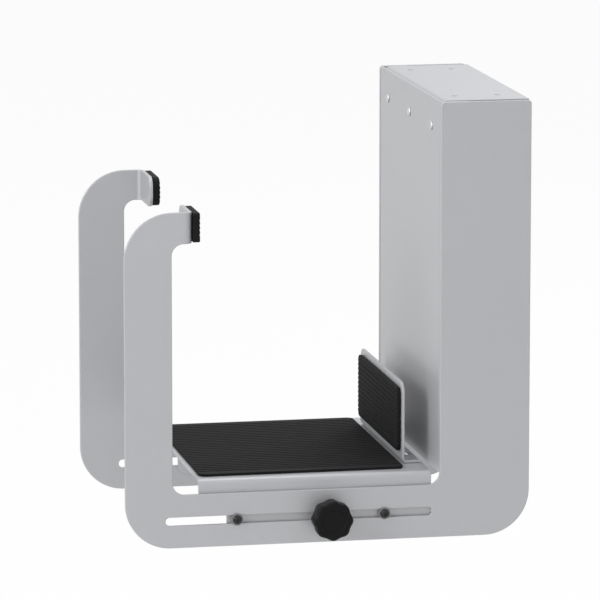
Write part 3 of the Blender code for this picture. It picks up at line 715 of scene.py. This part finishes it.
def clampKnob():
    # a turned hub, grip and sunk face; on the grip r * (1 + share * depth / grip * (cos(lobes t) - 1))
    middle, length, grip = turnedSeat("clamp_knob")
    hubEnd, lip, faceEnd = knob["hubLength"], knob["lip"], length - knob["dishDepth"]
    corners = [
        (knob["bore"], 0, lip),
        (knob["hub"], 0, knob["hubRound"]),
        (knob["hub"], hubEnd, knob["hubFoot"]),
        (grip, hubEnd, knob["round"]),
        (grip, length, knob["faceRound"]),
        (knob["dish"] + knob["dishSlope"], length, lip),
        (knob["dish"], faceEnd, lip),
    ]
    line = arcCorners([(0, -length, 0)] + corners + [(0, length * 2, 0)], steps=6)[1:-1]
    roof = length - knob["wall"]
    profile = [(0.0, roof), (knob["bore"], roof)] + [tuple(point) for point in line] + [(0.0, faceEnd)]
    start = knob["lobesFrom"] * grip

    def lobed(angle, share):
        return 1 + share * knob["lobeDepth"] / grip * (np.cos(knob["lobes"] * angle) - 1)

    shares = [min(1.0, max(0.0, (radius - start) / (grip - start) * 2)) for radius, height in profile]
    forms = [lambda angle, share=share: lobed(angle, share) for share in shares]
    data = turnedPiece("knobMoulded", profile, (0, -1, 0), middle, steps=160, forms=forms)
    finishPiece(data, "black_plastic", "knob", "clamp_knob", sharp=35)


insert = dict(bore=3.3 * mm, chamfer=0.4 * mm)


def knobInsert():
    # a turned sleeve, chamfered at its four rims
    middle, length, outer = turnedSeat("knob_insert")
    bore, chamfer = insert["bore"], insert["chamfer"]
    profile = [(bore, chamfer), (bore + chamfer, 0), (outer - chamfer, 0), (outer, chamfer),
               (outer, length - chamfer), (outer - chamfer, length), (bore + chamfer, length),
               (bore, length - chamfer)]
    data = turnedPiece("insertTurned", profile, (0, -1, 0), middle)
    finishPiece(data, "brass", "knob", "knob_insert")


washer = dict(bore=3.3 * mm, edge=0.25 * mm, bulge=0.6)


def clampWasher():
    # a turned disc with rounded outer rims
    middle, thick, outer = turnedSeat("clamp_washer")
    bore, edge, bulge = washer["bore"], washer["edge"], washer["edge"] * washer["bulge"]
    profile = [(bore, edge), (bore + edge, 0), (outer - 2 * edge, 0), (outer - bulge, bulge),
               (outer, 2 * edge), (outer, thick - 2 * edge), (outer - bulge, thick - bulge),
               (outer - 2 * edge, thick), (bore + edge, thick), (bore, thick - edge)]
    data = turnedPiece("washerPlated", profile, (0, -1, 0), middle, steps=72)
    finishPiece(data, "zinc_steel", "washer", "clamp_washer")


bolt = dict(neck=3 * mm, neckLength=4 * mm, shank=3 * mm, head=3.4 * mm, pitch=1 * mm, threadDepth=0.3 * mm,
            threadFrom=0.6 * mm, threadEnd=1.6 * mm, tip=0.6 * mm)


def clampBolt():
    # a turned domed head, a square neck, and a thread of rings half a pitch apart
    middle, length, headRadius = turnedSeat("clamp_bolt")
    seat = bolt["head"]
    neckEnd = seat + bolt["neckLength"]
    dome = domeArc(headRadius, seat, 2 * seat)
    profile = [(radius, max(0.0, 2 * seat - height)) for radius, height in dome]
    forms = [roundForm] * len(profile)
    profile += [(bolt["neck"], seat), (bolt["neck"], neckEnd)]
    forms += [squareForm, squareForm]
    threads = int((length - neckEnd - bolt["threadEnd"]) / bolt["pitch"])
    heights = neckEnd + bolt["threadFrom"] + bolt["pitch"] / 2 * np.arange(2 * threads + 1)
    profile += [(bolt["shank"] - (bolt["threadDepth"] if index % 2 else 0.0), height)
                for index, height in enumerate(heights)]
    profile += [(bolt["shank"] - bolt["tip"], length), (0.0, length)]
    forms += [roundForm] * (len(profile) - len(forms))
    data = turnedPiece("clampBoltPlated", profile, (0, -1, 0), middle, forms=forms)
    finishPiece(data, "zinc_steel", "carriage", "clamp_bolt", sharp=25)


screw = dict(socket=1.25 * mm, socketDepth=1.4 * mm, socketEdge=0.1 * mm, socketFlare=1.3,
             headHeight=2.2 * mm, crownBase=0.4 * mm, crownOver=0.2 * mm, crownFrom=0.55, rim=0.2 * mm,
             shank=2 * mm, chamfer=0.4 * mm, pitch=0.7 * mm, threadFrom=1.0 * mm, threadDepth=0.2 * mm)


def guideScrew(name, side):
    # a turned head with a hexagonal socket and an elliptical crown, and a thread of rings
    middle, length, head = turnedSeat(f"guide_screw_{name}", side)
    seat, socketEnd = length - screw["headHeight"], length - screw["socketDepth"]
    socket, crownBase, crownTop = screw["socket"], seat + screw["crownBase"], length + screw["crownOver"]
    profile = [(0.0, socketEnd), (socket, socketEnd), (socket, length - screw["socketEdge"]),
               (socket * screw["socketFlare"], length)]
    forms = [roundForm, hexForm, hexForm, roundForm]
    profile += [(radius, height) for radius, height in domeArc(head, crownBase, crownTop)
                if radius > head * screw["crownFrom"]]
    profile += [(head, seat + screw["rim"]), (head - screw["rim"], seat), (screw["shank"], seat)]
    heights = np.arange(seat - screw["threadFrom"], screw["chamfer"], -screw["pitch"] / 2)
    profile += [(screw["shank"] - (screw["threadDepth"] if index % 2 else 0.0), height)
                for index, height in enumerate(heights)]
    profile += [(screw["shank"] - screw["chamfer"], 0.0), (0.0, 0.0)]
    forms += [roundForm] * (len(profile) - len(forms))
    data = turnedPiece(f"screw_{name}", profile, (0, side, 0), middle, forms=forms)
    finishPiece(data, "black_steel", "carriage", f"guide_screw_{name}", sharp=28)


bush = dict(bore=2.3 * mm, barrel=3.2 * mm, flangeThick=1.0 * mm, edge=0.25 * mm, crown=1.6, bulge=0.5)


def guideBush(name, side):
    # a turned barrel with a flange whose outer rim is rounded
    middle, length, flange = turnedSeat(f"guide_bush_{name}", side)
    bore, barrel, edge, seat = bush["bore"], bush["barrel"], bush["edge"], length - bush["flangeThick"]
    crown, bulge = bush["crown"] * edge, bush["bulge"] * edge
    profile = [(bore, edge), (bore + edge, 0), (barrel - edge, 0), (barrel, edge), (barrel, seat),
               (flange - edge, seat), (flange, seat + edge), (flange, length - crown),
               (flange - bulge, length - bulge), (flange - crown, length), (bore + edge, length),
               (bore, length - edge)]
    data = turnedPiece(f"bush_{name}", profile, (0, side, 0), middle)
    finishPiece(data, "grey_nylon", "carriage", f"guide_bush_{name}")


nut = dict(bore=2.3 * mm, chamfer=0.35 * mm, face=0.1 * mm)


def guideNut(name, side):
    # a turned bore in a hexagonal body, with one round chamfered face
    middle, height, half = turnedSeat(f"guide_nut_{name}", side)
    bore, chamfer = nut["bore"], nut["chamfer"]
    profile = [(bore, chamfer), (bore + chamfer, 0), (half - nut["face"], 0), (half, chamfer),
               (half, height), (bore + chamfer, height), (bore, height - chamfer)]
    forms = [roundForm, roundForm, roundForm, hexForm, hexForm, roundForm, roundForm]
    data = turnedPiece(f"nut_{name}", profile, (0, side, 0), middle, forms=forms)
    finishPiece(data, "zinc_steel", "carriage", f"guide_nut_{name}", sharp=25)


rivet = dict(shank=2 * mm, tail=3 * mm, tailChamfer=0.5 * mm, headHeight=1.6 * mm, tailHeight=1.4 * mm,
             pin=1.0 * mm, pinDepth=0.5 * mm, mouth=1.15, mouthDrop=0.05 * mm, domeFrom=1.3)


def domedRivet(node, name, body, axis, origin, length, head):
    # a turned blind rivet: elliptical head with the broken pin sunk in its middle, shank and tail
    seat, pin, pinEnd = length - rivet["headHeight"], rivet["pin"], length - rivet["pinDepth"]
    tail, tailHeight, tailChamfer = rivet["tail"], rivet["tailHeight"], rivet["tailChamfer"]
    profile = [(0.0, pinEnd), (pin, pinEnd), (pin * rivet["mouth"], length - rivet["mouthDrop"])]
    profile += [(radius, height) for radius, height in domeArc(head, seat, length)
                if radius > pin * rivet["domeFrom"]]
    profile += [(rivet["shank"], seat), (rivet["shank"], tailHeight), (tail, tailHeight),
                (tail, tailChamfer), (tail - tailChamfer, 0.0), (0.0, 0.0)]
    data = turnedPiece(name, profile, axis, origin, steps=40)
    finishPiece(data, "zinc_steel", body, node, sharp=35)


clampKnob()
knobInsert()
clampWasher()
clampBolt()
for end, side in ends.items():
    for place in ("left", "right"):
        name = f"{end}_{place}"
        guideScrew(name, side)
        guideBush(name, side)
        guideNut(name, side)
for index in (1, 2, 3):
    low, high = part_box(f"bracket_rivet_{index}")
    origin = (high[0], (low[1] + high[1]) / 2, (low[2] + high[2]) / 2)
    domedRivet(f"bracket_rivet_{index}", f"bracketRivet_{index}", "frame", (-1, 0, 0), origin,
               high[0] - low[0], (high[1] - low[1]) / 2)
for index in (1, 2):
    low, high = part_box(f"stop_rivet_{index}")
    origin = ((low[0] + high[0]) / 2, (low[1] + high[1]) / 2, low[2])
    domedRivet(f"stop_rivet_{index}", f"stopRivet_{index}", "carriage", (0, 0, 1), origin,
               high[2] - low[2], (high[0] - low[0]) / 2)
print("turned pieces made")


stage = dict(floorZ=-0.684, halfWidth=9.0, near=-9.0, far=14.0, curveFrom=8.0, curveLength=6.0, rise=6.0,
             columns=12, rows=60, color=(0.86, 0.86, 0.86, 1), roughness=0.9, whiteShare=0.93)


def makeFloor():
    # flat, then curving up far behind: z = floor + rise * s^2, where s runs from 0 to 1 over the curve
    x = np.linspace(-stage["halfWidth"], stage["halfWidth"], stage["columns"])
    y = np.linspace(stage["near"], stage["far"], stage["rows"])
    gridX, gridY = np.meshgrid(x, y, indexing="ij")
    climb = np.clip((gridY - stage["curveFrom"]) / stage["curveLength"], 0, 1)
    gridZ = stage["floorZ"] + stage["rise"] * climb ** 2
    points = np.stack((gridX, gridY, gridZ), axis=2).reshape(-1, 3)
    index = np.arange(len(points)).reshape(gridX.shape)
    quads = np.stack((index[:-1, :-1], index[1:, :-1], index[1:, 1:], index[:-1, 1:]), axis=-1)
    data = bpy.data.meshes.new("floor")
    data.from_pydata(points.tolist(), [], quads.reshape(-1, 4).tolist())
    data.shade_smooth()
    floor = bpy.data.objects.new("floor", data)
    scene.collection.objects.link(floor)
    data.materials.append(floorPaint())


def floorPaint():
    # pale paint that is mostly plain white to the eye, keeps its shadows, and is clear from below
    finish = Finish("floorPaint")
    finish.set(Base_Color=stage["color"], Roughness=stage["roughness"])
    paint = Wire(finish.tree, finish.shader.outputs[0])
    white = finish.node("Emission", values={"Strength": 1.0})
    seen = finish.seenRays() * stage["whiteShare"]
    painted = finish.node("MixShader", values={0: seen, 1: paint, 2: white})
    behind = finish.node("NewGeometry", out="Backfacing")
    clear = finish.node("BsdfTransparent")
    whole = finish.node("MixShader", values={0: behind, 1: painted, 2: clear})
    finish.plug(finish.tree.nodes["Material Output"].inputs["Surface"], whole)
    return finish.material


world = dict(color=(0.97, 0.98, 1.0, 1), diffuse=0.55)


def makeWorld():
    # strength 1 for the rays that see the sky, and the diffuse value for those that only light
    sky = bpy.data.worlds.new("studio")
    sky.use_nodes = True
    scene.world = sky
    studio = Nodes(sky.node_tree)
    strength = 1 - (1 - world["diffuse"]) * (1 - studio.seenRays())
    background = studio.node("Background", values={"Color": world["color"], "Strength": strength})
    studio.plug(sky.node_tree.nodes["World Output"].inputs["Surface"], background)


def aimAt(thing, target):
    thing.rotation_euler = (Vector(target) - thing.location).to_track_quat('-Z', 'Y').to_euler()


lights = {
    "keyLeft": dict(place=(-3.3, -1.4, 1.4), size=2.0, power=76),
    "frontFill": dict(place=(-0.6, -3.4, -0.3), size=2.0, power=8),
    "topSoft": dict(place=(0.2, 0.6, 2.8), size=2.6, power=30),
    "rearRim": dict(place=(1.8, 2.8, 1.4), size=1.8, power=22),
}


def makeLights(middle):
    for name, light in lights.items():
        data = bpy.data.lights.new(name, 'AREA')
        data.shape = 'DISK'
        data.size = light["size"]
        data.energy = light["power"]
        lamp = bpy.data.objects.new(name, data)
        lamp.location = light["place"]
        scene.collection.objects.link(lamp)
        aimAt(lamp, middle)


view = dict(azimuth=-11.22, elevation=9.95, distance=4.33, lens=308, sensor=36, clipEnd=100)


def makeCamera(middle):
    # the camera stands at distance along (sin a cos e, -cos a cos e, sin e) from the middle
    azimuth, elevation = math.radians(view["azimuth"]), math.radians(view["elevation"])
    level = math.cos(elevation)
    back = Vector((math.sin(azimuth) * level, -math.cos(azimuth) * level, math.sin(elevation)))
    data = bpy.data.cameras.new("camera")
    data.lens = view["lens"]
    data.sensor_width = view["sensor"]
    data.clip_end = view["clipEnd"]
    camera = bpy.data.objects.new("camera", data)
    camera.location = middle + back * view["distance"]
    scene.collection.objects.link(camera)
    aimAt(camera, middle)
    scene.camera = camera


middle = (Vector(cadBox[0]) + Vector(cadBox[1])) / 2
middle.y = 0
makeFloor()
makeWorld()
makeLights(middle)
makeCamera(middle)
scene.view_settings.view_transform = 'Standard'
print("stage, lights and camera made")
